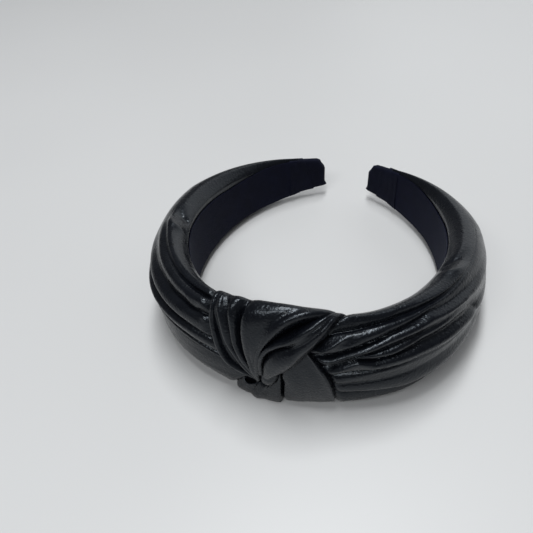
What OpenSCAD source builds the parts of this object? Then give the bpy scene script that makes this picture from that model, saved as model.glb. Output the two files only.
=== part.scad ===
// Padded headband with a knot at the crown, standing on its lower edge.
// Band coordinates: s runs along the inner face from the crown (0) to a tip, n points outwards
// from the inner face, and z is the height across the band. The row frame has +Z up, with the
// knot towards -Y and the tips towards +Y.

/* [Band curve] */
// Radius of the inner face at the crown, under the knot
crown_r = 53; // [52:0.5:55]
// Radius of the inner face at each shoulder, beside the knot
shoulder_r = 65.5; // [64:0.5:67]
// Radius of the inner face along the middle of each arm
arm_r = 78; // [77:0.5:79]
// Radius of the inner face beside each tip
tip_r = 73; // [72:0.5:75]
// Length of each of the four arcs that make one side
arc_len = 45; // [44.5:0.5:45.5]
// Angle by which the band leans down from the crown to the tips
lean = 4.2; // [4:0.1:4.4]

/* [Padded arms] */
// Half of the arm's height at its tallest
arm_half_h = 22.4; // [22.1:0.1:22.6]
// Half of the band's height at each tip
tip_half_h = 8.5; // [8:0.5:9.5]
// Thickness of a padded arm at its thickest
arm_t = 18; // [16:0.2:18.6]
// Thickness of the cover where it meets the tip wrap
cover_end_t = 4.4; // [4.2:0.1:5]
// Share of the arm's height that its flat inner face takes
flat_share = 0.77; // [0.74:0.01:0.8]
// How much the gathers beside the knot take off half of the arm's height
gather_in = 1.5; // [0.5:0.1:2]

/* [Layers] */
// Thickness of the lining ribbon
lining_t = 0.7; // [0.5:0.1:0.8]
// Thickness of the leather
leather_t = 0.8; // [0.6:0.1:0.9]
// Thickness of the springy plastic core
core_t = 1.4; // [1.2:0.1:1.4]
// Half of the core's height
core_half_h = 11; // [9:0.5:12]
// Half of the core's height at each tip
core_tip_h = 6.5; // [6:0.1:6.8]
// Width of the leather turned in over each edge of the inner face
hem_w = 6; // [4:0.5:7]
// Free space between neighbouring layers
layer_gap = 0.1; // [0.05:0.05:0.15]
// Length of the ribbon wrap on each tip
wrap_len = 17; // [16:0.5:18]
// Thickness of the ribbon wrap
wrap_t = 0.7; // [0.5:0.1:0.8]

/* [Flex] */
// Distance along the band from the crown to the point where each arm flexes
flex_s = 31; // [30:0.5:32]
// Wedge left free for an arm that opens
open_wedge = 27; // [26:0.5:29]
// Wedge left free for an arm that closes
close_wedge = 8; // [6:0.5:10]

/* [Knot] */
// Half of the knot's height
knot_half_h = 24; // [23.8:0.1:24.4]
// Distance from the inner face to the front of the knot
knot_t = 9; // [8.5:0.1:10]
// Thickness of the leather folds that lie over the knot's base
fold_t = 2.6; // [2.2:0.1:3]
// How far the rounded fold stands out from its neighbours
fold_lift = 1.6; // [1:0.1:2]

/* [Hidden] */

radii = [crown_r, shoulder_r, arm_r, tip_r];
half_len = 4 * arc_len;                    // inner face, crown to tip
cover_end_s = half_len - wrap_len;         // where the cover stops and the tip wrap starts
hem_n = lining_t + layer_gap;              // layers, outwards from the inner face
core_n = hem_n + leather_t + layer_gap;
pad_n = core_n + core_t + layer_gap;
pivot_n = core_n + core_t / 2;
full_s = arc_len * 4 / 3;                   // the arm is at its thickest from here
taper_s = arc_len * 2.4;                   // to here
turn = 180 / PI;                           // degrees in a radian
start_gap = 0.3;                           // free space at the tip of the wedge at a flex point
ribbon_in = 0.4;                           // how far the ribbons stay inside the leather's outline
core_short = 2;                            // how far the core stops short of each tip
lining_short = 3;                          // and the lining
pad_short = 16;                            // how far the foam stops short of the cover's end
surface_cut = 0.75;                        // how far the rest surface flattens the knot

steps_arm = 34;                            // rings along an arm
steps_band = 84;                           // and along the core and the lining
steps_wrap = 8;                            // and along a tip wrap
steps_base = 24;                           // and along the knot's base
steps_section = 21;                        // stretches round a padded section
steps_fold = [12, 8];                      // rows round a fold, and stretches across it

// The knot's folds go round its section by an angle phi: 0 at the front, 90 at the upper edge
top_phi = 128;                             // where they are tucked in behind the upper edge
gather_phi = -24;                          // where the wrap and the rounded fold end
fold_gap = 0.3;                            // free space between neighbouring folds
wrap_top_s = [-24.5, 15];                  // the wrap's two edges, at the upper edge of the knot
wrap_end_s = [-5, -4.5];                   // and at the gather
fold_top_s = 21;                           // the rounded fold's right edge, likewise
fold_end_s = -1;
crease_s = 3.3;                            // the crease between the flap and the lower loop
flap_s = [20.5, 9.5];                      // the flap's right edge, at its foot and at its apex
flap_phi = [-34, 29];                      // where that edge leaves its foot and reaches its apex
apex_phi = 26;                             // where the flap ends
loop_s = [-15, -6];                        // the loop's left edge, at its foot and at the gather
loop_phi = [-75, -25];                     // where that edge leaves its foot and reaches the gather

// ---- the band's curve ----------------------------------------------------------------------

function smooth(u) = let (v = min(max(u, 0), 1)) v * v * (3 - 2 * v);
function mix(a, b, u) = a + (b - a) * u;

// Direction of the inner face at s, in degrees from +X
function heading(s, i = 0, a = 0) =
    s > arc_len && i < 3 ? heading(s - arc_len, i + 1, a + arc_len / radii[i] * turn)
                         : a + s / radii[i] * turn;

// Point of the inner face at s, for the right side
function inner(s, i = 0, a = 0) =
    let (d = i < 3 ? min(s, arc_len) : s, r = radii[i], b = a + d / r * turn,
         p = [r * (sin(b) - sin(a)), r * (cos(a) - cos(b))])
    s > arc_len && i < 3 ? p + inner(s - arc_len, i + 1, b) : p;

// A point of the band, from its band coordinates. A negative s is on the left side.
function at(s, n, z) =
    let (p = inner(abs(s)), h = heading(abs(s)), q = s < 0 ? -1 : 1)
    [q * (p.x + n * sin(h)), p.y - n * cos(h), z];

// ---- sizes along the band ------------------------------------------------------------------

// Half height: the arm's taper, less the gathers beside the knot, plus the knot
function half_h(s) =
    let (d = abs(s))
    mix(arm_half_h, tip_half_h, pow(min(d / half_len, 1), 2.2))
    - gather_in * (1 - smooth((d - flex_s) / arc_len))
    + (knot_half_h - arm_half_h + gather_in) * (1 - smooth(d / (flex_s + 3)));

function thickness(s) =
    let (d = abs(s))
    d < taper_s ? mix(knot_t, arm_t, smooth(d / full_s))
                : mix(arm_t, cover_end_t, pow((d - taper_s) / (cover_end_s - taper_s), 1.15));

// Half height of the flat inner face
function flat_h(s) = flat_share * half_h(s);

// Centre and half width, in n, of the ellipse that shapes a padded section
function section_a(s, skin) = (thickness(s) - skin - hem_n) / (1 + sqrt(1 - flat_share * flat_share));
function section_c(s, skin) = thickness(s) - skin - section_a(s, skin);

// A padded section: that ellipse, cut off by the inner face at n0. skin shrinks it all round.
// The loop starts at the lower inner corner and ends at the upper one.
function padded(s, n0, skin) =
    let (a = section_a(s, skin), c = section_c(s, skin), h = half_h(s) - skin,
         start = 180 - acos(min(max((c - n0) / a, -1), 1)))
    [for (i = [0 : steps_section]) let (b = mix(-start, start, i / steps_section))
        [c + a * cos(b), h * sin(b)]];

// ---- solids --------------------------------------------------------------------------------

// Skin of a solid from rings of points that run alike, with an even number in each. Each end
// is closed by a strip that joins the ring's first half to its second half.
module loft(rings) {
    m = len(rings[0]);
    last = (len(rings) - 1) * m;
    points = [for (ring = rings) each ring];
    sides = [for (j = [0 : len(rings) - 2]) for (i = [0 : m - 1])
        let (a = j * m + i, b = j * m + (i + 1) % m) each [[a, b, b + m], [a, b + m, a + m]]];
    caps = [for (i = [0 : m / 2 - 2])
        each [[i, m - 1 - i, m - 2 - i], [i, m - 2 - i, i + 1],
              [last + i, last + i + 1, last + m - 2 - i],
              [last + i, last + m - 2 - i, last + m - 1 - i]]];
    polyhedron(points, concat(sides, caps), convexity = 8);
}

// The row frame: the band stands on its lower edge, leaning down towards its tips. Its origin
// is on the surface, midway between the rounded fold's front and the backs of the tips.
front_y = -knot_t - fold_lift * 0.75;
back_y = at(half_len, pad_n + wrap_t, 0).y * cos(lean) + tip_half_h * sin(lean);
stand_h = (knot_half_h - surface_cut) / cos(lean);
module stand() {
    translate([0, -(front_y + back_y) / 2, stand_h]) rotate([-lean, 0, 0]) children();
}

// Flattens what meets the surface that the band stands on
module on_surface() {
    difference() {
        stand() children();
        translate([-half_len, -half_len, -2 * knot_half_h])
            cube([2 * half_len, 2 * half_len, 2 * knot_half_h]);
    }
}

// A flat strip that follows the band between two values of s
module strip(s0, s1, n0, n1, count, height_at) {
    loft([for (j = [0 : count]) let (s = mix(s0, s1, j / count), h = height_at(abs(s)))
        [at(s, n0, -h), at(s, n1, -h), at(s, n1, h), at(s, n0, h)]]);
}

// ---- core, lining and tips -----------------------------------------------------------------

function core_h(s) =
    min(core_half_h, mix(core_tip_h, core_half_h, max(0, (cover_end_s - s) / arc_len)));
module core_band() color([0.86, 0.85, 0.82])
    stand() strip(core_short - half_len, half_len - core_short, core_n, core_n + core_t, steps_band,
                  function (s) core_h(s));

function lining_h(s) = s < cover_end_s ? flat_h(s) - ribbon_in : core_tip_h;
module lining_ribbon() color([0.06, 0.07, 0.13])
    stand() strip(lining_short - half_len, half_len - lining_short, 0, lining_t, steps_band,
                  function (s) lining_h(s));

module tip_wrap() {
    room = [-layer_gap, core_n + core_t + layer_gap];
    difference() {
        strip(cover_end_s + ribbon_in, half_len, room[0] - wrap_t, room[1] + wrap_t, steps_wrap,
              function (s) half_h(s) - ribbon_in);
        strip(cover_end_s - wrap_t, half_len - wrap_t, room[0], room[1], steps_wrap,
              function (s) half_h(s) - ribbon_in - wrap_t);
    }
}
module right_tip_wrap() color([0.07, 0.08, 0.15]) stand() tip_wrap();
module left_tip_wrap() color([0.07, 0.08, 0.15]) stand() mirror([1, 0, 0]) tip_wrap();

// ---- padded arms ---------------------------------------------------------------------------

// Where an arm starts: a V about the flex point, open for both ways that the arm turns
function arm_start(n) =
    flex_s + start_gap + (n > pivot_n ? (n - pivot_n) * tan(open_wedge) : (pivot_n - n) * tan(close_wedge));

// Leather skin: its outside, then its inside run backwards, with a hem behind the lining
function cover_ring(s) =
    let (edge = flat_h(s) - hem_w, in_n = hem_n + leather_t,
         outside = padded(s, hem_n, 0), inside = padded(s, in_n, leather_t))
    concat([[hem_n, -edge]], outside, [[hem_n, edge]],
           [[in_n, edge]], [for (i = [steps_section : -1 : 0]) inside[i]], [[in_n, -edge]]);

module arm_cover() {
    loft([for (j = [0 : steps_arm]) let (u = j / steps_arm, s = mix(flex_s, cover_end_s, u))
        [for (p = cover_ring(s)) at(mix(arm_start(p[0]), cover_end_s, u), p[0], p[1])]]);
}
module right_cover() color([0.09, 0.09, 0.10]) on_surface() arm_cover();
module left_cover() color([0.09, 0.09, 0.10]) on_surface() mirror([1, 0, 0]) arm_cover();

module arm_pad() {
    pad_end_s = cover_end_s - pad_short;
    loft([for (j = [0 : steps_arm]) let (u = j / steps_arm, s = mix(flex_s, pad_end_s, u))
        [for (p = padded(s, pad_n, leather_t + 2 * layer_gap))
            at(mix(arm_start(p[0]) + start_gap, pad_end_s, u), p[0], p[1])]]);
}
module right_foam_pad() color([0.93, 0.91, 0.84]) stand() arm_pad();
module left_foam_pad() color([0.93, 0.91, 0.84]) stand() mirror([1, 0, 0]) arm_pad();

// ---- knot ----------------------------------------------------------------------------------

// The base keeps the band's full section at its ends and makes room for the folds between
relief_s = flex_s - 6;                     // where its surface starts to rise to the full section
relief_run = 5;                            // and how far along it takes
function base_skin(s) = (fold_t + fold_gap) * (1 - smooth((abs(s) - relief_s) / relief_run));
module knot_base() color([0.08, 0.08, 0.09]) on_surface()
    loft([for (j = [0 : steps_base]) let (s = mix(-flex_s, flex_s, j / steps_base))
        [for (p = padded(s, pad_n, base_skin(s))) at(s, max(p[0], pad_n), p[1])]]);

// A leather fold that lies on the base from phi0 to phi1, between two edges given as
// functions of phi. lift_at(u) is how far its outside stands out, with u across the fold.
module fold(phi0, phi1, left_at, right_at, lift_at) {
    function on(s, phi, skin) =
        let (a = section_a(s, skin), c = section_c(s, skin))
        at(s, max(c + a * cos(phi), hem_n), (half_h(s) - skin) * sin(phi));
    rows = steps_fold[0];
    cols = steps_fold[1];
    loft([for (j = [0 : rows])
        let (phi = mix(phi0, phi1, j / rows), s0 = left_at(phi), s1 = right_at(phi))
        concat([for (i = [0 : cols]) let (u = i / cols) on(mix(s0, s1, u), phi, -lift_at(u))],
               [for (i = [cols : -1 : 0]) on(mix(s0, s1, i / cols), phi, fold_t)])]);
}
function flat_lift(u) = -0.5 * fold_lift * pow(2 * u - 1, 4);
function round_lift(u) = fold_lift * (1 - pow(2 * u - 1, 2)) - 2 * fold_gap;

// Share of the way from one angle to another
function share(phi, from, to) = min(max((phi - from) / (to - from), 0), 1);
// and from just past the upper edge down to the gather
function down(phi) = share(phi, 94, gather_phi);

function wrap_left(phi) = mix(wrap_top_s[0], wrap_end_s[0], pow(down(phi), 2.6));
function wrap_right(phi) = mix(wrap_top_s[1], wrap_end_s[1], pow(down(phi), 0.8));
function fold_left(phi) = wrap_right(phi) + fold_gap;
function fold_right(phi) = mix(fold_top_s, fold_end_s, pow(down(phi), 0.95));
function flap_left(phi) = max(crease_s + fold_gap / 2, fold_right(phi) + fold_gap);
function flap_right(phi) = mix(flap_s[0], flap_s[1], pow(share(phi, flap_phi[0], flap_phi[1]), 2));
function loop_left(phi) = mix(loop_s[0], loop_s[1], pow(share(phi, loop_phi[0], loop_phi[1]), 1.5));

module knot_wrap() color([0.10, 0.10, 0.11]) stand()
    fold(gather_phi, top_phi, function (p) wrap_left(p), function (p) wrap_right(p),
         function (u) flat_lift(u));
module knot_fold() color([0.10, 0.10, 0.11]) stand()
    fold(gather_phi, top_phi, function (p) fold_left(p), function (p) fold_right(p),
         function (u) round_lift(u));
module knot_flap() color([0.10, 0.10, 0.11]) on_surface()
    fold(-top_phi, apex_phi, function (p) flap_left(p), function (p) flap_right(p),
         function (u) flat_lift(u));
module knot_loop() color([0.10, 0.10, 0.11]) on_surface()
    fold(-top_phi, gather_phi - 2, function (p) loop_left(p), function (p) crease_s - fold_gap / 2,
         function (u) flat_lift(u));

core_band();
lining_ribbon();
left_foam_pad();
right_foam_pad();
left_cover();
right_cover();
left_tip_wrap();
right_tip_wrap();
knot_base();
knot_wrap();
knot_fold();
knot_flap();
knot_loop();
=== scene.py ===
"""The looks of a padded headband with a knot at the crown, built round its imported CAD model.

Band coordinates, as in the part's source: s runs along the inner face from the crown (0) to a
tip, and is negative on the left; n points outwards from the inner face; z is the height across
the band. phi goes round the padded section: 0 at the front, 90 at the upper edge. The band
functions are in millimetres and degrees, and row() turns them into metres in the row frame.
"""

import math

import bmesh
import bpy
import numpy as np
from mathutils import Matrix, Vector, noise


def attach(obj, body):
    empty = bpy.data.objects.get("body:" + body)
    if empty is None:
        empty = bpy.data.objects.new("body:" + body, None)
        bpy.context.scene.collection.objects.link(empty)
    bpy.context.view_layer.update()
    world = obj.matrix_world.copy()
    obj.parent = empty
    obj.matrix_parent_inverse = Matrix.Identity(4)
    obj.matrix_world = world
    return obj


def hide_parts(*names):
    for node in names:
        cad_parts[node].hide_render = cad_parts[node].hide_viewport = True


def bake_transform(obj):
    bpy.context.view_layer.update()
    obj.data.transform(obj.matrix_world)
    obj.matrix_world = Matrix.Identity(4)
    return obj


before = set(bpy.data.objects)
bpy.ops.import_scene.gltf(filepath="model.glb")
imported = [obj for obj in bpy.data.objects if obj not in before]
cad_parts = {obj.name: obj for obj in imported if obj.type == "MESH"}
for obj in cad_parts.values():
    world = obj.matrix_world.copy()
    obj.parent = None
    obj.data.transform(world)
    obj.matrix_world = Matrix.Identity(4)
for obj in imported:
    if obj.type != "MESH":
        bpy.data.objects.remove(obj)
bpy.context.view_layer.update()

# ---- sizes, in millimetres, as the part's source has them -----------------------------------

RADII = (53.0, 65.5, 78.0, 73.0)  # of the inner face's four arcs, from the crown to a tip
ARC = 45.0  # length of each of those arcs
HALF_LEN = 4 * ARC
LEAN = math.radians(4.2)  # of the band, down from the crown to the tips

ARM_HALF_H = 22.4  # half of the band's height, at its tallest
TIP_HALF_H = 8.5
KNOT_HALF_H = 24.0
ARM_T = 18.0  # distance from the inner face to the outside, at its thickest
KNOT_T = 9.0
COVER_END_T = 4.4
FLAT_SHARE = 0.77  # of the height, taken by the flat inner face
GATHER_IN = 1.5  # how much the gathers beside the knot take off half of the height

FLEX_S = 31.0  # where an arm flexes
BEND_S = (18.0, 48.0)  # and a stretch round that point, whose ends across_joint() works out but doesn't use
FULL_S = 60.0  # where an arm has reached its full thickness
TAPER_S = 108.0  # and where it starts to get thinner
COVER_END_S = HALF_LEN - 17.0
WRAP_START = 160.5  # where a tip's ribbon wrap starts
WRAP_W = 11.0  # and how far one slanting turn of it advances

LINING_T = 0.7
LEATHER_T = 0.8
CORE_T = 1.4
WRAP_T = 0.7
LAYER_GAP = 0.1
HEM_N = LINING_T + LAYER_GAP  # where each layer starts, out from the inner face
CORE_N = HEM_N + LEATHER_T + LAYER_GAP
PAD_N = CORE_N + CORE_T + LAYER_GAP
CORE_HALF_H = 11.0
CORE_TIP_H = 6.5  # half of the core's height at the tips
FOLD_LIFT = 1.6  # how far the CAD's folds stand out from the knot
SURFACE_CUT = 0.75  # how far the rest surface flattens the knot
MM = 0.001


# ---- the band's shape -----------------------------------------------------------------------


def mix(a, b, u):
    """The value a share u of the way from a to b."""
    return a + (b - a) * u


def smooth(u):
    """From 0 to 1 as u does, with a level start and end."""
    v = np.clip(u, 0, 1)
    return v * v * (3 - 2 * v)


def inner(s):
    """Point (x, y) and heading of the inner face at s, for s from 0."""
    x, y, heading = 0.0, 0.0, 0.0
    for i, r in enumerate(RADII):
        d = np.maximum(s - i * ARC, 0)
        turned = heading + (np.minimum(d, ARC) if i < 3 else d) / r
        x = x + r * (np.sin(turned) - np.sin(heading))
        y = y + r * (np.cos(heading) - np.cos(turned))
        heading = turned
    return x, y, heading


def half_h(s):
    """Half of the band's height: the arm's taper, less the gathers, plus the knot."""
    d = np.abs(s)
    knot = (KNOT_HALF_H - ARM_HALF_H + GATHER_IN) * (1 - smooth(d / (FLEX_S + 3)))
    gathers = GATHER_IN * (1 - smooth((d - FLEX_S) / ARC))
    return mix(ARM_HALF_H, TIP_HALF_H, np.minimum(d / HALF_LEN, 1) ** 2.2) - gathers + knot


def thickness(s):
    """Distance from the inner face to the outside of the band."""
    d = np.abs(s)
    taper = np.clip((d - TAPER_S) / (COVER_END_S - TAPER_S), 0, 1) ** 1.15
    swell = mix(KNOT_T, ARM_T, smooth(d / FULL_S))
    return np.where(d < TAPER_S, swell, mix(ARM_T, COVER_END_T, taper))


def section(s, phi, lift=0.0):
    """n and z of the padded section at angle phi, lift millimetres proud of it."""
    root = 1 + math.sqrt(1 - FLAT_SHARE**2)
    a = (thickness(s) + lift - HEM_N) / root
    c = thickness(s) + lift - a
    n = c + a * np.cos(np.radians(phi))
    return np.maximum(n, HEM_N), (half_h(s) + lift) * np.sin(np.radians(phi))


TIP_Y, TIP_HEADING = inner(HALF_LEN)[1:]
TIP_BACK = TIP_Y - (PAD_N + WRAP_T) * math.cos(TIP_HEADING)
FRONT_Y = -KNOT_T - FOLD_LIFT * 0.75
BACK_Y = TIP_BACK * math.cos(LEAN) + TIP_HALF_H * math.sin(LEAN)
ORIGIN_Y = -(FRONT_Y + BACK_Y) / 2
STAND_H = (KNOT_HALF_H - SURFACE_CUT) / math.cos(LEAN)


def row(s, n, z):
    """Points of the row frame, in metres, from band coordinates."""
    s, n, z = np.broadcast_arrays(s, n, z)
    x, y, heading = inner(np.abs(s))
    side = np.where(s < 0, -1.0, 1.0)
    px, py = side * (x + n * np.sin(heading)), y - n * np.cos(heading)
    cl, sl = math.cos(LEAN), math.sin(LEAN)
    return np.stack([px, py * cl + z * sl + ORIGIN_Y, z * cl - py * sl + STAND_H], -1) * MM


def spline(points, t):
    """Places at t, from 0 to 1, on a smooth line through points along their first axis."""
    p = np.array(points, float)
    if len(p) < 3:
        p = np.stack([p[0], (p[0] + p[-1]) / 2, p[-1]])
    p = np.concatenate([[2 * p[0] - p[1]], p, [2 * p[-1] - p[-2]]])
    x = np.clip(t, 0, 1) * (len(p) - 3)
    i = np.minimum(x.astype(int), len(p) - 4)
    w = (x - i).reshape(-1, *[1] * (p.ndim - 1))
    a, b, c, d = p[i], p[i + 1], p[i + 2], p[i + 3]
    return b + 0.5 * w * (c - a + w * (2 * a - 5 * b + 4 * c - d + w * (3 * (b - c) + d - a)))


CREST = 1.3  # below 2 a fold's crest is pinched, as in thin leather
FADE_IN, FADE_OUT = 0.1, 0.45  # shares of a fold's length over which it starts and ends


def ripples(points, folds):
    """How far leather stands out at points (in metres), from a list of folds. A fold is
    (height, width, [(s, phi), ...]) in millimetres, and fades in and out at its two ends. A
    negative height is a crease."""
    total = np.zeros(points.shape[:-1])
    flat = points.reshape(-1, 3)
    t = np.linspace(0, 1, 64)
    for height, width, line in folds:
        sp = spline(line, t)
        path = row(sp[:, 0], *section(sp[:, 0], sp[:, 1]))
        gap = ((flat[:, None, :] - path[None]) ** 2).sum(-1)
        k = gap.argmin(1)
        d = np.sqrt(gap[np.arange(len(flat)), k]) / MM
        fade = smooth(t[k] / FADE_IN) * smooth((1 - t[k]) / FADE_OUT)
        total += (height * fade * np.exp(-((d / width) ** CREST))).reshape(total.shape)
    return total


def wrinkles(s, phi, seed, long=26.0, short=4.5):
    """Smooth noise from -1 to 1, drawn out along the band, with lumps of those sizes."""
    s, phi = np.broadcast_arrays(s, phi)
    arc = np.radians(phi) * ARM_HALF_H
    spots = zip((s / long).ravel(), (arc / short).ravel())
    return np.array([noise.noise(Vector((x, y, seed))) for x, y in spots]).reshape(s.shape)


# ---- meshes ---------------------------------------------------------------------------------


def grid_mesh(name, points, material, closed=False, thick=0.0):
    """A piece from a grid of points, rows by columns. closed joins each row's ends, and thick is
    how many millimetres it's thickened by, on the side away from its normals."""
    rows, cols = points.shape[:2]
    flat = points.reshape(-1, 3)
    faces = []
    for j in range(rows - 1):
        for i in range(cols if closed else cols - 1):
            a, b = j * cols + i, j * cols + (i + 1) % cols
            faces.append((a, b, b + cols, a + cols))
    mesh = bpy.data.meshes.new(name)
    mesh.from_pydata([tuple(p) for p in flat], [], faces)
    mesh.polygons.foreach_set("use_smooth", [True] * len(faces))
    mesh.materials.append(material)
    obj = bpy.data.objects.new(name, mesh)
    bpy.context.scene.collection.objects.link(obj)
    if thick:
        shell = obj.modifiers.new("thickness", "SOLIDIFY")
        shell.thickness = thick * MM
        shell.offset = -1.0
        apply(obj, shell)
    return obj


def apply(obj, modifier):
    """Makes a modifier's result the object's own mesh."""
    bpy.context.view_layer.objects.active = obj
    with bpy.context.temp_override(object=obj, active_object=obj):
        bpy.ops.object.modifier_apply(modifier=modifier.name)


# ---- materials ------------------------------------------------------------------------------


class Nodes:
    """A material's node tree, built one node at a time."""

    def __init__(self, name):
        self.material = bpy.data.materials.new(name)
        self.material.use_nodes = True
        self.tree = self.material.node_tree
        self.tree.nodes.clear()
        self.output = self.add("ShaderNodeOutputMaterial")
        self.shader = self.add("ShaderNodeBsdfPrincipled")
        self.join(self.shader, "BSDF", self.output, "Surface")
        self.place = self.add("ShaderNodeTexCoord")

    def add(self, kind, values=None, **settings):
        """A node of a kind, with the values of its inputs and its own settings."""
        node = self.tree.nodes.new(kind)
        for key, value in settings.items():
            setattr(node, key, value)
        for key, value in (values or {}).items():
            node.inputs[key].default_value = value
        return node

    def join(self, a, out, b, into):
        """Links node a's output called out to node b's input called into."""
        self.tree.links.new(a.outputs[out], b.inputs[into])

    def texture(self, kind, values, **settings):
        """A texture node in the object's own coordinates."""
        node = self.add(kind, values, **settings)
        self.join(self.place, "Object", node, "Vector")
        return node

    def ramp(self, source, out, stops):
        """Colours along a value: stops are (value, colour)."""
        node = self.add("ShaderNodeValToRGB")
        while len(node.color_ramp.elements) < len(stops):
            node.color_ramp.elements.new(0.5)
        for element, (at, color) in zip(node.color_ramp.elements, stops):
            element.position = at
            element.color = (*color, 1)
        self.join(source, out, node, "Fac")
        return node

    def span(self, source, out, low, high, to_low, to_high):
        """A value from low to high, spread from to_low to to_high."""
        ends = {"From Min": low, "From Max": high, "To Min": to_low, "To Max": to_high}
        node = self.add("ShaderNodeMapRange", ends)
        self.join(source, out, node, "Value")
        return node

    def bump(self, source, out, strength, distance, under=None):
        """Bumps up to distance millimetres high, on top of the bumps of the node under."""
        node = self.add("ShaderNodeBump", {"Strength": strength, "Distance": distance * MM})
        self.join(source, out, node, "Height")
        if under:
            self.join(under, "Normal", node, "Normal")
        return node

    def finish(self, **values):
        """Sets the shader's own values, and gives the material."""
        for key, value in values.items():
            self.shader.inputs[key.replace("_", " ")].default_value = value
        return self.material


def leather_material():
    """Black leather with a fine pebbled grain and a low shine that varies in patches."""
    m = Nodes("leather")
    tone = m.texture("ShaderNodeTexNoise", {"Scale": 60.0, "Detail": 4.0, "Roughness": 0.6})
    color = m.ramp(tone, "Fac", [(0.3, (0.0016, 0.0020, 0.0034)), (0.75, (0.0036, 0.0043, 0.0066))])
    m.join(color, "Color", m.shader, "Base Color")
    patches = m.texture("ShaderNodeTexNoise", {"Scale": 240.0, "Detail": 5.0, "Roughness": 0.62})
    rough = m.span(patches, "Fac", 0.3, 0.75, 0.23, 0.37)
    m.join(rough, "Result", m.shader, "Roughness")
    pebbles = m.texture("ShaderNodeTexVoronoi", {"Scale": 1250.0, "Randomness": 1.0}, feature="SMOOTH_F1")
    fine = m.texture("ShaderNodeTexNoise", {"Scale": 2200.0, "Detail": 3.0, "Roughness": 0.6})
    soft = m.texture("ShaderNodeTexNoise", {"Scale": 300.0, "Detail": 3.0, "Roughness": 0.5})
    low = m.bump(soft, "Fac", 0.12, 0.25)
    mid = m.bump(pebbles, "Distance", 0.75, 0.18, low)
    top = m.bump(fine, "Fac", 0.3, 0.05, mid)
    m.join(top, "Normal", m.shader, "Normal")
    tint = (0.82, 0.91, 1.0, 1)
    return m.finish(Specular_IOR_Level=0.32, Specular_Tint=tint, Coat_Weight=0.12, Coat_Roughness=0.18)


def ribbon_material(name, dark, light, scale):
    """Navy ribbon with a fine weave."""
    m = Nodes(name)
    tone = m.texture("ShaderNodeTexNoise", {"Scale": 150.0, "Detail": 4.0})
    color = m.ramp(tone, "Fac", [(0.3, dark), (0.75, light)])
    m.join(color, "Color", m.shader, "Base Color")
    threads = {"Scale": scale, "Distortion": 0.6, "Detail": 1.0}
    warp = m.texture("ShaderNodeTexWave", threads, bands_direction="Z")
    threads = {"Scale": scale * 0.6, "Distortion": 0.8, "Detail": 1.0}
    weft = m.texture("ShaderNodeTexWave", threads, bands_direction="DIAGONAL")
    under = m.bump(warp, "Fac", 0.5, 0.12)
    over = m.bump(weft, "Fac", 0.35, 0.08, under)
    m.join(over, "Normal", m.shader, "Normal")
    sheen = {"Sheen_Weight": 0.035, "Sheen_Roughness": 0.5, "Sheen_Tint": (0.5, 0.6, 1.0, 1)}
    return m.finish(Roughness=0.8, Specular_IOR_Level=0.12, **sheen)


def foam_material():
    """Pale foam with open cells, each cell's hollow darkened by painted shade."""
    m = Nodes("foam")
    cells = m.texture("ShaderNodeTexVoronoi", {"Scale": 1100.0})
    # painted shade: the colour is darkest at each cell's centre, where the bump below sinks into a hollow
    color = m.ramp(cells, "Distance", [(0.0, (0.62, 0.58, 0.48)), (0.6, (0.85, 0.82, 0.73))])
    m.join(color, "Color", m.shader, "Base Color")
    bump = m.bump(cells, "Distance", 0.7, 0.3)
    m.join(bump, "Normal", m.shader, "Normal")
    return m.finish(Roughness=0.95)


def core_material():
    """Off-white plastic, slightly rough."""
    m = Nodes("springy_plastic")
    tone = m.texture("ShaderNodeTexNoise", {"Scale": 90.0, "Detail": 3.0})
    color = m.ramp(tone, "Fac", [(0.3, (0.66, 0.65, 0.61)), (0.7, (0.78, 0.77, 0.73))])
    m.join(color, "Color", m.shader, "Base Color")
    grain = m.texture("ShaderNodeTexNoise", {"Scale": 1800.0, "Detail": 2.0})
    bump = m.bump(grain, "Fac", 0.2, 0.05)
    m.join(bump, "Normal", m.shader, "Normal")
    return m.finish(Roughness=0.5)


LEATHER = leather_material()
LINING = ribbon_material("lining_ribbon", (0.0011, 0.0016, 0.0080), (0.0022, 0.0030, 0.0130), 900.0)
TIP_RIBBON = ribbon_material("tip_ribbon", (0.0011, 0.0016, 0.0070), (0.0022, 0.0030, 0.0115), 1200.0)
FOAM = foam_material()
CORE = core_material()


# ---- camera, floor and light ----------------------------------------------------------------

# The camera's place, turns and focal length were fitted by a solver to points picked on the
# photograph, and then slightly rounded.
CAMERA_AT = Vector((49.3, -215.5, 215.9)) * MM
CAMERA_YAW = math.radians(19.14)
CAMERA_DOWN = math.radians(42.85)
CAMERA_ROLL = math.radians(4.5)
FOCAL_SHARE = 1.2007  # focal length over the picture's width
FLOOR_HALF = 4.0  # in metres
WORLD_COLOR, WORLD_STRENGTH = (0.93, 0.95, 1.0, 1), 0.13
LIGHT_COLOR = (0.95, 0.98, 1.0)
# Each light's place and the point it faces, its size, in metres, and its power in watts.
LIGHTS = (
    ("overhead", (-0.05, 0.10, 1.2), (0, 0.10, 0), (0.9, 0.22), 12.5),
    ("window", (-0.10, -0.72, 0.85), (0, 0, 0.02), (0.7, 0.14), 3.8),
    ("backdrop", (0.7, 1.5, 0.70), (0, 0, 0.05), (2.4, 1.3), 7.5),
)


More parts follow.
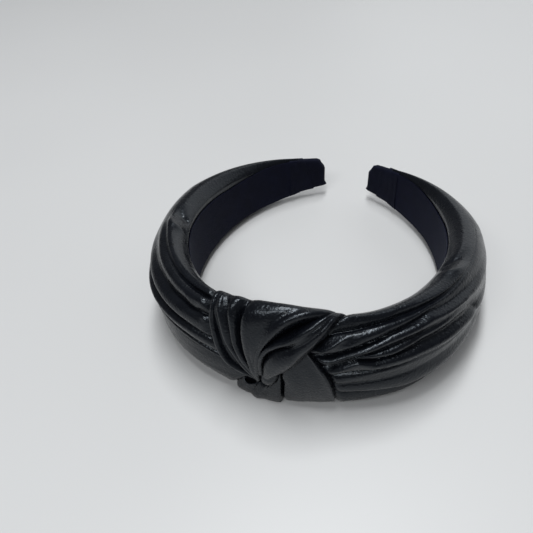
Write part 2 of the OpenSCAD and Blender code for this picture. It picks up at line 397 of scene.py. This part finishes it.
def make_camera():
    """The camera, at the photograph's viewing angle."""
    data = bpy.data.cameras.new("camera")
    data.sensor_width = 36.0
    data.lens = FOCAL_SHARE * data.sensor_width
    data.clip_start, data.clip_end = 0.01, 20.0
    right = Vector((math.cos(CAMERA_YAW), math.sin(CAMERA_YAW), 0))
    level = Vector((-math.sin(CAMERA_YAW), math.cos(CAMERA_YAW), 0))
    ahead = level * math.cos(CAMERA_DOWN) - Vector((0, 0, 1)) * math.sin(CAMERA_DOWN)
    up = right.cross(ahead)
    cr, sr = math.cos(CAMERA_ROLL), math.sin(CAMERA_ROLL)
    rolled_right, rolled_up = right * cr - up * sr, right * sr + up * cr
    camera = bpy.data.objects.new("camera", data)
    bpy.context.scene.collection.objects.link(camera)
    turn = Matrix((rolled_right, rolled_up, -ahead)).transposed()
    camera.matrix_world = Matrix.Translation(CAMERA_AT) @ turn.to_4x4()
    bpy.context.scene.camera = camera


def area_light(name, at, target, size, power):
    """A rectangular light at a place, facing the target."""
    data = bpy.data.lights.new(name, "AREA")
    data.shape = "RECTANGLE"
    data.size, data.size_y = size
    data.energy = power
    data.color = LIGHT_COLOR
    lamp = bpy.data.objects.new(name, data)
    bpy.context.scene.collection.objects.link(lamp)
    lamp.location = at
    lamp.rotation_mode = "QUATERNION"
    lamp.rotation_quaternion = (Vector(target) - Vector(at)).to_track_quat("-Z", "Y")


def make_floor():
    """The pale surface that the headband lies on."""
    m = Nodes("floor")
    tone = m.texture("ShaderNodeTexNoise", {"Scale": 3.0, "Detail": 2.0})
    color = m.ramp(tone, "Fac", [(0.3, (0.575, 0.57, 0.565)), (0.7, (0.61, 0.605, 0.60))])
    m.join(color, "Color", m.shader, "Base Color")
    mesh = bpy.data.meshes.new("floor")
    corners = [(x * FLOOR_HALF, y * FLOOR_HALF, 0) for x, y in ((-1, -1), (1, -1), (1, 1), (-1, 1))]
    mesh.from_pydata(corners, [], [(0, 1, 2, 3)])
    mesh.materials.append(m.finish(Roughness=0.45))
    floor = bpy.data.objects.new("floor", mesh)
    bpy.context.scene.collection.objects.link(floor)


def make_stage():
    """The floor, a weak even surround and three soft lights."""
    make_floor()
    world = bpy.data.worlds.new("studio")
    bpy.context.scene.world = world
    world.use_nodes = True
    back = world.node_tree.nodes["Background"]
    back.inputs["Color"].default_value = WORLD_COLOR
    back.inputs["Strength"].default_value = WORLD_STRENGTH
    for light in LIGHTS:
        area_light(*light)
    bpy.context.scene.view_settings.view_transform = "Standard"


# ---- leather over the arms ------------------------------------------------------------------

# The rolls that gather each arm's leather towards the knot, from the lower edge to the upper.
# Each line runs along a roll's crest or along the crease beside it, through points of (distance
# from the crown, phi, lift), and the leather is round over the crests and sharp in the creases.
RIGHT_ROLLS = [
    [(8, -52, 1), (20, -50, 1.5), (40, -56, 1.5), (60, -68, 1), (100, -78, 0)],
    [(8, -33, -1), (20, -33, -1.5), (40, -38, -2), (50, -46, -2), (65, -55, -1), (90, -62, 0)],
    [(8, -20, 1.5), (20, -24, 2), (40, -26, 2.5), (60, -20, 1.5), (100, -12, 0)],
    [(8, -17, 0), (20, -16, 0.5), (40, -12, 0.5), (55, -7, 0), (75, -5, 0)],
    [(8, -14, 1), (15, -13, 1.5), (20, -10, 1.5), (30, -3, 1), (40, 0, 0.5), (60, 0, 0)],
    [(8, -10, -1), (17, -4, -2), (22, 0, -2), (34, 2, -0.5), (45, 6, 0), (75, 0, -0.5)],
    [(8, -5, 1.5), (17, 1, 2), (21, 9, 2.5), (25, 15, 2.5), (30, 9, 2), (45, 14, 2), (60, 12, 1.5),
     (90, 0, 0.5)],
    [(8, 4, -1), (17, 7, -2), (25, 19, -1), (30, 16, -1.5), (45, 24, -1), (60, 25, -1), (90, 12, 0)],
    [(8, 8, 0.5), (17, 11, 1), (25, 22, 2), (35, 23, 2), (45, 33, 1), (60, 34, 0.5), (75, 26, 0)],
    [(8, 10, 0), (17, 13, 0), (25, 24, 0), (30, 27, -1), (40, 36, -0.5), (60, 40, 0.5), (75, 32, 0.5)],
    [(8, 12, 1.5), (17, 15, 2.5), (25, 26, 2.5), (35, 39, 2), (50, 47, 1.5), (75, 34, 1), (115, 20, 0)],
    [(8, 17, -1.5), (17, 21, -2), (25, 33, -2), (35, 48, -1), (50, 60, -0.5), (90, 45, 0)],
    [(8, 24, 1.5), (17, 30, 2.5), (25, 40, 2.5), (35, 57, 1.5), (50, 68, 0.5), (60, 65, 0)],
    [(8, 36, -1), (20, 54, -1.5), (30, 66, -1.5), (40, 74, -1), (60, 72, -0.5)],
    [(8, 100, 0.5), (22, 92, 1), (45, 84, 1.5), (60, 75, 1), (75, 72, 0.5), (90, 70, 0)],
]
LEFT_ROLLS = [
    [(6, -50, 0.5), (30, -50, 1), (80, -50, 0.5), (110, -50, 0)],
    [(6, -22, -1), (16, -14, -1.5), (32, -7, -1.5), (60, -5, -1), (90, -5, 0)],
    [(6, -20, 0.5), (16, -11, 0.5), (32, -3, 0.5), (60, -1, 0.5), (90, 0, 0)],
    [(6, -18, -1), (16, -8, -1.5), (32, 1, -1.5), (60, 3, -1), (90, 4, 0)],
    [(6, -12, 1), (18, 6, 1.5), (30, 10, 2), (50, 12, 2), (80, 12, 0.5), (110, 12, 0)],
    [(6, -6, -1), (18, 13, -0.5), (30, 18, -0.5), (45, 20, -2), (60, 22, -1.5), (85, 24, 0)],
    [(6, 0, 1), (18, 17, 1.5), (30, 25, 2), (45, 29, 2), (60, 32, 1.5), (85, 34, 0)],
    [(6, 12, -1), (18, 32, -1.5), (24, 42, -2), (35, 46, -1.5), (50, 48, -1), (75, 50, 0)],
    [(6, 30, 0.5), (18, 48, 1.5), (28, 58, 2), (40, 62, 2), (60, 64, 1), (85, 64, 0)],
    [(6, 50, -0.5), (20, 72, -1.5), (30, 76, -1), (45, 78, -0.5), (70, 78, 0)],
    [(6, 90, 0.5), (20, 95, 1), (30, 92, 1), (55, 88, 1), (90, 80, 0)],
]
# Folds and creases that cross the rolls, as ripples() takes them.
RIGHT_FOLDS = [
    (1.2, 0.9, [(13, 24), (17, 33), (20, 42), (25, 54)]),
    (-0.8, 2.2, [(66, 34), (71, 20), (73, 4), (71, -16)]),
    (1.2, 2.8, [(64, 136), (66, 116), (68, 98), (71, 84), (77, 75), (90, 70)]),
    (-1.8, 3.2, [(74, 140), (75, 118), (77, 102), (81, 91), (90, 82)]),
    (-1.5, 1.2, [(12, -32), (25, -33), (42, -39), (58, -52), (75, -64)]),
]
LEFT_FOLDS = [
    (1.0, 1.2, [(22, 30), (28, 44), (36, 60)]),
    (1.3, 2.2, [(70, 128), (72, 110), (74, 94), (79, 84), (90, 78)]),
    (-2.2, 2.8, [(80, 130), (81, 112), (83, 100), (91, 92)]),
]


ROLLS_END = (72.0, 118.0)  # the rolls flatten out between these distances from the crown
ROUND = 0.75  # of a roll beside the knot: 0.5 would be a half circle, and 1 a parabola
SLACK = (30.0, 65.0)  # between these distances the rolls turn from tight to slack
ARM_START = 0.5  # the arms' leather runs in under the knot, to this far from the crown
HEM_W = 6.0  # of leather turned in over each edge of the inner face
COVER_PAST = 3.0  # the arms' leather goes on this far past the CAD's, under the tip's wrap
TUCK_IN = 1.5  # the arms' leather is lowest from this far in under the knot's edge
TUCK_RISE = 5.0  # and its rolls reach their full height over this distance from there
TUCK_SINK, TUCK_SINK_W = 1.3, 4.0  # how far it sinks there, and over what distance that ends
NEAR_KNOT = (16.0, 86.0)  # between these distances from the crown the wrinkles die down
WRINKLE, WRINKLE_FAR = 0.35, 0.08  # height of the wrinkles: added by the knot, and everywhere
FINE_WRINKLE, FINE_SIZE = 0.16, (16.0, 2.4)  # height, length and width of the finer ones
EDGE_FADE = 0.12  # share of the section, from each hem, over which the folds rise
END_FADE = 14.0  # they start to die down this far before the end of the CAD's leather
END_FADE_W = 16.0  # and are gone after this distance


def rolled(s, phi, edge, rolls):
    """The lift of leather gathered in rolls, at rows of s and columns of phi from -edge to edge."""
    at = s[:, 0]
    lines = [np.array(line, float) for line in rolls]
    phis = [-edge[:, 0]] + [np.interp(at, line[:, 0], line[:, 1]) for line in lines] + [edge[:, 0]]
    lifts = [0 * at] + [np.interp(at, line[:, 0], line[:, 2]) for line in lines] + [0 * at]
    total = np.zeros(phi.shape)
    slack = smooth((s - SLACK[0]) / (SLACK[1] - SLACK[0]))
    for p0, p1, l0, l1 in zip(phis, phis[1:], lifts, lifts[1:]):
        p0, p1, l0, l1 = (k[:, None] for k in (p0, np.maximum(p1, p0 + 0.5), l0, l1))
        u = np.clip((phi - p0) / (p1 - p0), 0, 1)
        from_crest = np.where(l0 > l1, u, 1 - u)
        low, high = np.minimum(l0, l1), np.maximum(l0, l1)
        shape = mix((1 - from_crest**2) ** ROUND, 0.5 + 0.5 * np.cos(math.pi * from_crest), slack)
        total = np.where((phi >= p0) & (phi < p1), low + (high - low) * shape, total)
    return total * (1 - smooth((s - ROLLS_END[0]) / (ROLLS_END[1] - ROLLS_END[0])))


def knot_edge(ribs):
    """The phi and the distance from the crown of points on the knot's edge, from its ribs."""
    return np.array(sorted((phi, abs(s)) for rib in ribs for s, phi, lift in rib)).T


def tucked(s, phi, lift, edge_points):
    """The lift of an arm's leather, with its end drawn in under the knot."""
    past = s - np.interp(phi, *edge_points)
    sink = TUCK_SINK * (1 - smooth((past + TUCK_IN) / TUCK_SINK_W))
    return lift * smooth((past + TUCK_IN) / TUCK_RISE) - sink


def arm_lift(s, phi, edge, rolls, folds, edge_points, seed):
    """How far an arm's leather stands out, from its rolls, folds and wrinkles."""
    lift = rolled(s, phi, edge, rolls)
    lift += ripples(row(s + 0 * phi, *section(s, phi)), folds)
    near_knot = 1 - smooth((s - NEAR_KNOT[0]) / (NEAR_KNOT[1] - NEAR_KNOT[0]))
    lift += (WRINKLE * near_knot + WRINKLE_FAR) * wrinkles(s, phi, seed)
    lift += FINE_WRINKLE * near_knot * wrinkles(s, phi, seed + 5, *FINE_SIZE)
    lift = tucked(s, phi, lift, edge_points)
    lift *= smooth((1 - np.abs(phi) / edge) / EDGE_FADE)
    return lift * (1 - smooth((s - COVER_END_S + END_FADE) / END_FADE_W))


def arm_leather(side, name, rolls, folds, edge_points, seed):
    """The leather round an arm, with a hem turned in over each edge of its inner face."""
    rows, cols, hem_cols = 230, 230, 7
    end = COVER_END_S + COVER_PAST
    s = ARM_START + (end - ARM_START) * np.linspace(0, 1, rows)[:, None] ** 1.25
    a = (thickness(s) - HEM_N) / (1 + math.sqrt(1 - FLAT_SHARE**2))
    c = thickness(s) - a
    edge = 180 - np.degrees(np.arccos(np.clip((c - HEM_N) / a, -1, 1)))
    phi = edge * np.linspace(-1, 1, cols)[None, :]
    lift = arm_lift(s, phi, edge, rolls, folds, edge_points, seed)
    body = row(side * s, *section(s, phi, lift))
    flat = FLAT_SHARE * half_h(s)
    turned_in = HEM_W * np.linspace(0, 1, hem_cols + 1)[None, 1:]
    low = row(side * s, HEM_N, turned_in[:, ::-1] - flat)
    high = row(side * s, HEM_N, flat - turned_in)
    points = np.concatenate([low, body, high], axis=1)
    points[..., 2] = np.maximum(points[..., 2], 0.0)
    return leather_piece(name, points if side < 0 else points[:, ::-1])


def leather_piece(name, points):
    """A piece of leather of its real thickness, from the points of one face."""
    obj = grid_mesh(name, points, LEATHER, thick=LEATHER_T)
    return obj


def across_joint(obj, side):
    """Bakes a piece's place into its mesh. The ends of BEND_S are worked out but not used."""
    start, end = row(side * BEND_S[0], CORE_N, 0.0), row(side * BEND_S[1], CORE_N, 0.0)
    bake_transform(obj)


# ---- the knot -------------------------------------------------------------------------------

# Each fold of the knot is drawn by its ribs: lines that run along the fold, side by side from its
# left edge to its right, through points of (s, phi, lift proud of the padded section). The wrap's
# ribs all turn at the angles WRAP_AT, and each of WRAP_LEVELS has one rib's s and lift there.
WRAP_AT = (-23, -10, 5, 20, 40, 60, 90, 126)
WRAP_LEVELS = [
    ((-7, -16.5, -19.5, -21, -22.5, -23.5, -24.5, -24.5), (-1, -1, -1, -1, -1, -1, -1, -1)),
    ((-6.5, -15, -18.5, -20, -21.5, -22, -23, -23), (1, 2, 2, 2, 2, 2, 1.5, 0.5)),
    ((-6.5, -14, -17.5, -19, -20.5, -21.5, -22, -22), (0.5, 0, -0.5, -0.5, 0, 1.5, 1.5, 0.5)),
    ((-6.5, -10.5, -14, -16.5, -18.5, -20, -21, -21), (0.5, 0, -0.5, -0.5, 0, 1.5, 1.5, 0.5)),
    ((-6.5, -9.5, -12.5, -15.5, -17.5, -19, -20, -20), (1, 2, 2.5, 2.5, 2.5, 2.5, 1.5, 0.5)),
    ((-6.5, -8.5, -11.5, -13.5, -15.5, -16.5, -17.5, -17.5), (0.5, 0.5, 0.5, 1, 1, 1, 1, 0.5)),
    ((-6, -8, -10.5, -12.5, -13.5, -14.5, -14, -13.5), (1, 2, 3, 3, 3, 3, 2, 0.5)),
    ((-6, -7.5, -9, -10.5, -11, -11, -10.5, -10), (0.5, 0, -1, -1.5, -1.5, -0.5, 0.5, 0.5)),
    ((-6, -7, -8, -9, -9.5, -9, -6.5, -5.5), (1.5, 2.5, 3, 3.5, 4, 3.5, 2, 1)),
    ((-6, -6.5, -7, -7, -6, -3.5, 0.5, 1), (1.5, 2.5, 3, 4, 4, 4, 2.5, 1)),
    ((-6, -6, -6, -5, -2.5, 1.5, 8.5, 9.5), (1.5, 2.5, 3, 3.5, 4, 3.5, 2.5, 1)),
    ((-6, -5.5, -5, -4, 0, 5, 14.5, 17), (1, 2, 3, 3.5, 4.5, 4.5, 2.5, 1)),
    ((-5.5, -5, -4.5, -3, 2, 8, 17.5, 20.5), (0.5, -0.5, -0.5, -0.5, 0, 0.5, 1, 0)),
]
WRAP_RIBS = [list(zip(s, WRAP_AT, lift)) for s, lift in WRAP_LEVELS]
FOLD_RIBS = [
    [(-5.5, -10, -0.5), (-5, 8, -0.5), (-3, 24, -0.5), (0.5, 35, 0),
     (5, 45, 0.5), (10, 60, 0.5), (15, 79, 0.5), (22, 110, -1)],
    [(-5, -10, 2), (-4.5, 8, 3), (-2.5, 21, 3.5), (1, 30, 4),
     (5, 37, 4), (10, 51, 4), (15, 71, 2.5), (22, 110, -0.5)],
    [(-4.5, -11, 2), (-4, 8, 3), (-2, 20, 3.5), (1.5, 28, 4),
     (5, 35, 4.5), (10.5, 49, 4), (15, 68, 2.5), (22, 110, -0.5)],
    [(-4.5, -12, 1), (-4, 7, 1), (-1.5, 18, 1), (2, 27, 2),
     (5.5, 32, 3.5), (10.5, 46, 4), (15, 65, 2.5), (22, 110, -0.5)],
    [(-4.5, -13, 0), (-3.5, 6, -0.5), (-1, 17, -1), (2.5, 25, 0),
     (6, 30, 3), (11, 44, 4), (15.5, 64, 2.5), (22.5, 110, -0.5)],
    [(-4, -14, 1), (-3, 4, 2), (-0.5, 15, 2.5), (3, 23, 3),
     (6.5, 28, 3.5), (11, 42, 4), (15.5, 62, 2.5), (22.5, 110, -0.5)],
    [(-3.5, -15, 2), (-2, 0, 3.5), (1, 10, 4.5), (4, 18, 4.5),
     (7, 25, 4.5), (11.5, 39, 4), (16, 59, 2.5), (22.5, 110, -0.5)],
    [(-3, -17, 2), (-0.5, -5, 3.5), (3, 5, 4), (5.5, 14, 4.5),
     (8, 23, 4), (12, 37, 3.5), (16, 57, 2), (22.5, 110, -0.5)],
    [(-2.5, -18, 0.5), (0.5, -9, 1), (4, -1, 1), (7, 9, 1),
     (9.5, 20, 1), (13, 35, 0.5), (16.5, 55, 0.5), (23, 110, -1)],
]
NUB_RIBS = [
    [(-5.5, -8, 0), (-5.5, -19, 0), (-4, -29, 0)],
    [(-4.5, -6, 1.5), (-4.5, -19, 2.5), (-3.5, -30, 1)],
    [(-2.5, -4, 2.5), (-2.5, -18, 3.5), (-2.5, -31, 1)],
    [(0.5, -6, 2), (-0.5, -18, 2.5), (-2, -30, 1)],
    [(2, -6, 0), (1, -18, 0), (-1, -28, 0)],
]
FLAP_RIBS = [
    [(4, 13, -1), (2, -8, -1), (2, -21, -1), (2, -45, -1), (1.5, -75, -1), (1.5, -104, -1.5)],
    [(5, 13, 1), (2.5, -8, 1.5), (3, -21, 1.5), (2.5, -45, 1.5), (2.5, -75, 0.5), (2, -104, -0.5)],
    [(6, 15, 1), (4.5, -5, 2), (5.5, -20, 2.5), (5.5, -45, 2), (5.5, -75, 0.5), (5.5, -104, -0.5)],
    [(7.5, 18, 1), (9, 3, 2), (10.5, -15, 2.5), (11.5, -40, 2), (12, -72, 0.5), (12, -104, -0.5)],
    [(9, 22, 1), (12, 10, 2), (15, -8, 2.5), (17, -33, 2), (18.5, -65, 1), (19, -104, 0)],
    [(9.5, 25, 1), (13, 11, 2), (16.5, -8, 2.5), (18.5, -33, 2), (19.5, -65, 0.5), (20, -104, -0.5)],
    [(9.5, 26, -1), (14, 11, -1), (17.5, -8, -1), (19.5, -33, -1), (20.5, -65, -1), (21, -104, -1.5)],
]
LOOP_RIBS = [
    [(-3.5, -31, -0.5), (-8, -42, -0.5), (-12, -70, -0.5), (-12.5, -104, -0.5)],
    [(-2.5, -29, 1), (-6.5, -41, 1.5), (-10.5, -68, 2), (-11, -104, 1)],
    [(-1.5, -25, 1), (-5, -38, 2), (-8, -64, 3), (-8, -104, 1)],
    [(-0.5, -22, 1), (-3.5, -36, 1.5), (-5, -62, 2.5), (-5.5, -104, 1)],
    [(0.5, -18, 1), (-1.5, -33, 2), (-2.5, -61, 2.5), (-3, -104, 1)],
    [(1, -13, 1), (0.5, -28, 2), (0, -60, 2.5), (-0.5, -104, 1)],
    [(1.5, -11, 1), (1.5, -24, 1.5), (1, -60, 2), (1, -104, 1)],
    [(2, -11, -1), (2.5, -23, -1), (2, -60, -1), (1.5, -104, -1)],
]
TAB_RIBS = [
    [(-13, -40, -1), (-17, -68, -0.5), (-17.5, -104, -0.5)],
    [(-12, -41, 0.5), (-16, -68, 1.5), (-16.5, -104, 1)],
    [(-10.5, -41, 1), (-13.5, -69, 2), (-14, -104, 1)],
    [(-8, -39, 0.5), (-11, -70, 2), (-11.5, -104, 1)],
    [(-7, -37, -0.5), (-8, -70, 1.5), (-8, -104, 1)],
]
BASE_PHI = (-140, -100, -50, 0, 50, 100, 140)
BASE_RIBS = [[(s, phi, -1.5) for phi in BASE_PHI] for s in (15, 8, 0, -8, -15)]


def loft(name, ribs, rows, cols, seed, rough=0.25):
    """A piece of leather through its ribs, attached to the crown's body."""
    grid = np.array([spline(rib, np.linspace(0, 1, rows)) for rib in ribs])
    grid = spline(grid, np.linspace(0, 1, cols)).transpose(1, 0, 2)
    s, phi, lift = grid[..., 0], grid[..., 1], grid[..., 2]
    along = np.linspace(0, 1, rows)[:, None]
    across = np.linspace(-1, 1, cols)[None, :]
    spots = zip((along * 3 + 0 * across).ravel(), (across * len(ribs) * 0.8 + 0 * along).ravel())
    creases = np.array([noise.noise(Vector((x, y, seed))) for x, y in spots]).reshape(s.shape)
    lift = lift + rough * creases * (1 - across**6) * smooth(along / 0.2)
    points = row(s, *section(s, phi, lift))
    points[..., 2] = np.maximum(points[..., 2], 0.0)
    obj = leather_piece(name, points[:, ::-1])
    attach(obj, "crown")
    return obj


# ---- lining, core, pads and tip wraps ---------------------------------------------------------

LINING_WIDENS = (118.0, 162.0)  # between these distances the lining widens to the whole height
LOW_MARGINS = (3.4, 1.2)  # of the inner face below the lining, by the knot and at the tip
HIGH_MARGINS = (6.6, 0.8)  # and above it
CORE_TAPER = (90.0, 170.0)  # between these distances the core gets lower
FOAM_FROM = 6.0  # the foam starts this far past where the arm flexes
FOAM_TO = 4.0  # and ends this far before the end of the CAD's leather
FOAM_ROOM = 3.4  # left between foam and leather, for the creases
FOAM_MIN_T = 0.8
FOAM_MARGIN = 5.4  # left between the foam's edges and the band's
WRAP_MID_N = 2.3  # the middle of a tip wrap's thickness
WRAP_HALF_T = (2.45, 2.0)  # half of it, where the wrap starts and further on
WRAP_STEP = 0.4  # height of the step between two turns
WRAP_DENT = 0.25  # how far its surface wanders
TIP_PAST = 0.4  # how far a wrap goes past the end of the band
CORNER_CUT, TIP_POINT = 2.4, 1.2  # its upper corner is cut back, and its lower one stands out
WRAP_CLOSES = (0.94, 0.06)  # share of its length where it starts to close, and the share it takes


def strip(name, side, end, n_range, low_high, material, wavy=0.0):
    """A closed band along the inner face from the crown, with rounded edges. low_high(s) gives its
    two edges, and wavy is how far they wander."""
    rows, cols = 150, 48
    s = np.linspace(0, end, rows)[:, None]
    turn = np.linspace(0, 2 * math.pi, cols, endpoint=False)[None, :]
    co, si = np.cos(turn), np.sin(turn)
    n_mid, n_half = (n_range[0] + n_range[1]) / 2, (n_range[1] - n_range[0]) / 2
    low, high = low_high(s)
    z = (low + high) / 2 + (high - low) / 2 * np.sign(si) * np.abs(si) ** 0.35
    z = z + wavy * np.array([[noise.noise(Vector((v / 9, w, 0.3))) for w in si[0]] for v in s[:, 0]])
    n = n_mid + n_half * np.sign(co) * np.abs(co) ** 0.6
    points = row(np.maximum(s, 1e-4) * side, n, z)
    obj = grid_mesh(name, points if side < 0 else points[:, ::-1], material, closed=True)
    close_ends(obj, rows, cols)
    return obj


def close_ends(obj, rows, cols):
    """Closes a tube made by grid_mesh with a face at each end."""
    ends = [list(range(cols))[::-1], list(range((rows - 1) * cols, rows * cols))]
    mesh = bmesh.new()
    mesh.from_mesh(obj.data)
    mesh.verts.ensure_lookup_table()
    for loop in ends:
        mesh.faces.new([mesh.verts[i] for i in loop])
    bmesh.ops.recalc_face_normals(mesh, faces=mesh.faces)
    mesh.to_mesh(obj.data)
    mesh.free()


def lining_edges(s):
    """The lining's lower and upper edge; it widens to the whole height towards the tip."""
    widening = smooth((s - LINING_WIDENS[0]) / (LINING_WIDENS[1] - LINING_WIDENS[0]))
    low, high = mix(*LOW_MARGINS, widening), mix(*HIGH_MARGINS, widening)
    return -(half_h(s) - low), half_h(s) - high


def core_edges(s):
    """The core's lower and upper edge."""
    taper = smooth((s - CORE_TAPER[0]) / (CORE_TAPER[1] - CORE_TAPER[0]))
    half = mix(CORE_HALF_H, CORE_TIP_H, taper)
    return -half, half


def foam_pad(side, name):
    """The foam in an arm, fullest in its middle and rounded off at both ends."""
    rows, cols, flat_cols = 120, 72, 18
    first, last = FLEX_S + FOAM_FROM, COVER_END_S - FOAM_TO
    t = np.linspace(0, 1, rows)[:, None]
    s = first + (last - first) * t
    ends = np.sqrt(np.maximum(1 - (2 * t - 1) ** 16, 0.0))
    height = np.maximum(thickness(s) - LEATHER_T - FOAM_ROOM, PAD_N + FOAM_MIN_T)
    phi = np.linspace(-90, 90, cols)[None, :]
    n = PAD_N + (height - PAD_N) * ends * np.abs(np.cos(np.radians(phi))) ** 0.8
    z = (half_h(s) - FOAM_MARGIN) * ends * np.sin(np.radians(phi))
    back = np.linspace(1, -1, flat_cols + 2)[None, 1:-1]
    n = np.concatenate([n, PAD_N + 0 * back * t], axis=1)
    z = np.concatenate([z, (half_h(s) - FOAM_MARGIN) * ends * back], axis=1)
    points = row(side * s, n, z)
    obj = grid_mesh(name, points if side < 0 else points[:, ::-1], FOAM, closed=True)
    close_ends(obj, rows, cols + flat_cols)
    return obj


def tip_wrap(side, name):
    """Ribbon wound round a tip in slanting turns and folded over its end, which it leaves with
    one corner cut back and a small point at the other."""
    rows, cols = 90, 120
    t = np.linspace(0, 1, rows)[:, None]
    turn = np.linspace(0, 2 * math.pi, cols, endpoint=False)[None, :]
    co, si = np.cos(turn), np.sin(turn)
    up = np.sign(si) * np.abs(si) ** 0.3
    cut, point = CORNER_CUT * smooth((up - 0.4) / 0.6), TIP_POINT * smooth((-0.7 - up) / 0.3)
    end = HALF_LEN + TIP_PAST - cut + point
    s = WRAP_START + (end - WRAP_START) * t
    slant = (s - WRAP_START) / WRAP_W + 0.25 * up
    step = WRAP_STEP * (slant - np.floor(slant)) * smooth((0.96 - t) / 0.05)
    closing = 1 - 0.6 * smooth((t - WRAP_CLOSES[0]) / WRAP_CLOSES[1]) ** 2
    n_half = mix(*WRAP_HALF_T, smooth(t * 1.5)) + step
    n = WRAP_MID_N + n_half * np.sign(co) * np.abs(co) ** 0.45 * closing
    z = (half_h(s) - 1.0 + step) * up
    dent = np.array([[noise.noise(Vector((v / 3, w * 1.5, side))) for w in up[0]] for v in s[:, 0]])
    n = n + WRAP_DENT * dent
    points = row(side * s, n, z)
    obj = grid_mesh(name, points if side < 0 else points[:, ::-1], TIP_RIBBON, closed=True)
    close_ends(obj, rows, cols)
    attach(obj, "right_arm" if side > 0 else "left_arm")
    return obj


# ---- the whole headband -----------------------------------------------------------------------

RIGHT_EDGE = knot_edge([FLAP_RIBS[-2], FOLD_RIBS[-1][5:]])
LEFT_EDGE = knot_edge([WRAP_RIBS[0], TAB_RIBS[0]])
SIDES = (
    (1, "right", RIGHT_ROLLS, RIGHT_FOLDS, RIGHT_EDGE),
    (-1, "left", LEFT_ROLLS, LEFT_FOLDS, LEFT_EDGE),
)
LINING_SPAN = (0.05, LINING_T)
CORE_SPAN = (CORE_N, CORE_N + CORE_T)


def make_arm(side, word, rolls, folds, edge_points):
    """All the pieces of one side, from the crown to the tip."""
    cover = arm_leather(side, word + "_arm_leather", rolls, folds, edge_points, 1.7 * side)
    across_joint(cover, side)
    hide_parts(word + "_cover")
    foam = foam_pad(side, word + "_foam")
    across_joint(foam, side)
    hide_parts(word + "_foam_pad")
    lining = strip(word + "_lining", side, HALF_LEN - 14, LINING_SPAN, lining_edges, LINING, wavy=0.25)
    across_joint(lining, side)
    core = strip(word + "_core", side, HALF_LEN - 1.5, CORE_SPAN, core_edges, CORE)
    across_joint(core, side)
    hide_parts("lining_ribbon")
    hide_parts("core_band")
    wrap = tip_wrap(side, word + "_tip_ribbon")
    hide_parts(word + "_tip_wrap")


def make_knot():
    """The knot's leather. The fold's rolled tip and the lower tab have no CAD node of their own."""
    base = loft("knot_under_leather", BASE_RIBS, 70, 50, 0.2)
    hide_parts("knot_base")
    wrap = loft("knot_over_wrap", WRAP_RIBS, 150, 190, 0.4)
    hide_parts("knot_wrap")
    fold = loft("knot_rolled_fold", FOLD_RIBS, 160, 120, 0.9, 0.12)
    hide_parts("knot_fold")
    loft("knot_fold_tip", NUB_RIBS, 50, 50, 1.3, 0.1)
    flap = loft("knot_flat_flap", FLAP_RIBS, 110, 90, 2.1, 0.15)
    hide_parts("knot_flap")
    loop = loft("knot_lower_loop", LOOP_RIBS, 80, 90, 2.7, 0.08)
    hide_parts("knot_loop")
    loft("knot_lower_tab", TAB_RIBS, 60, 50, 3.3, 0.15)


make_camera()
make_stage()
for arm in SIDES:
    make_arm(*arm)
make_knot()
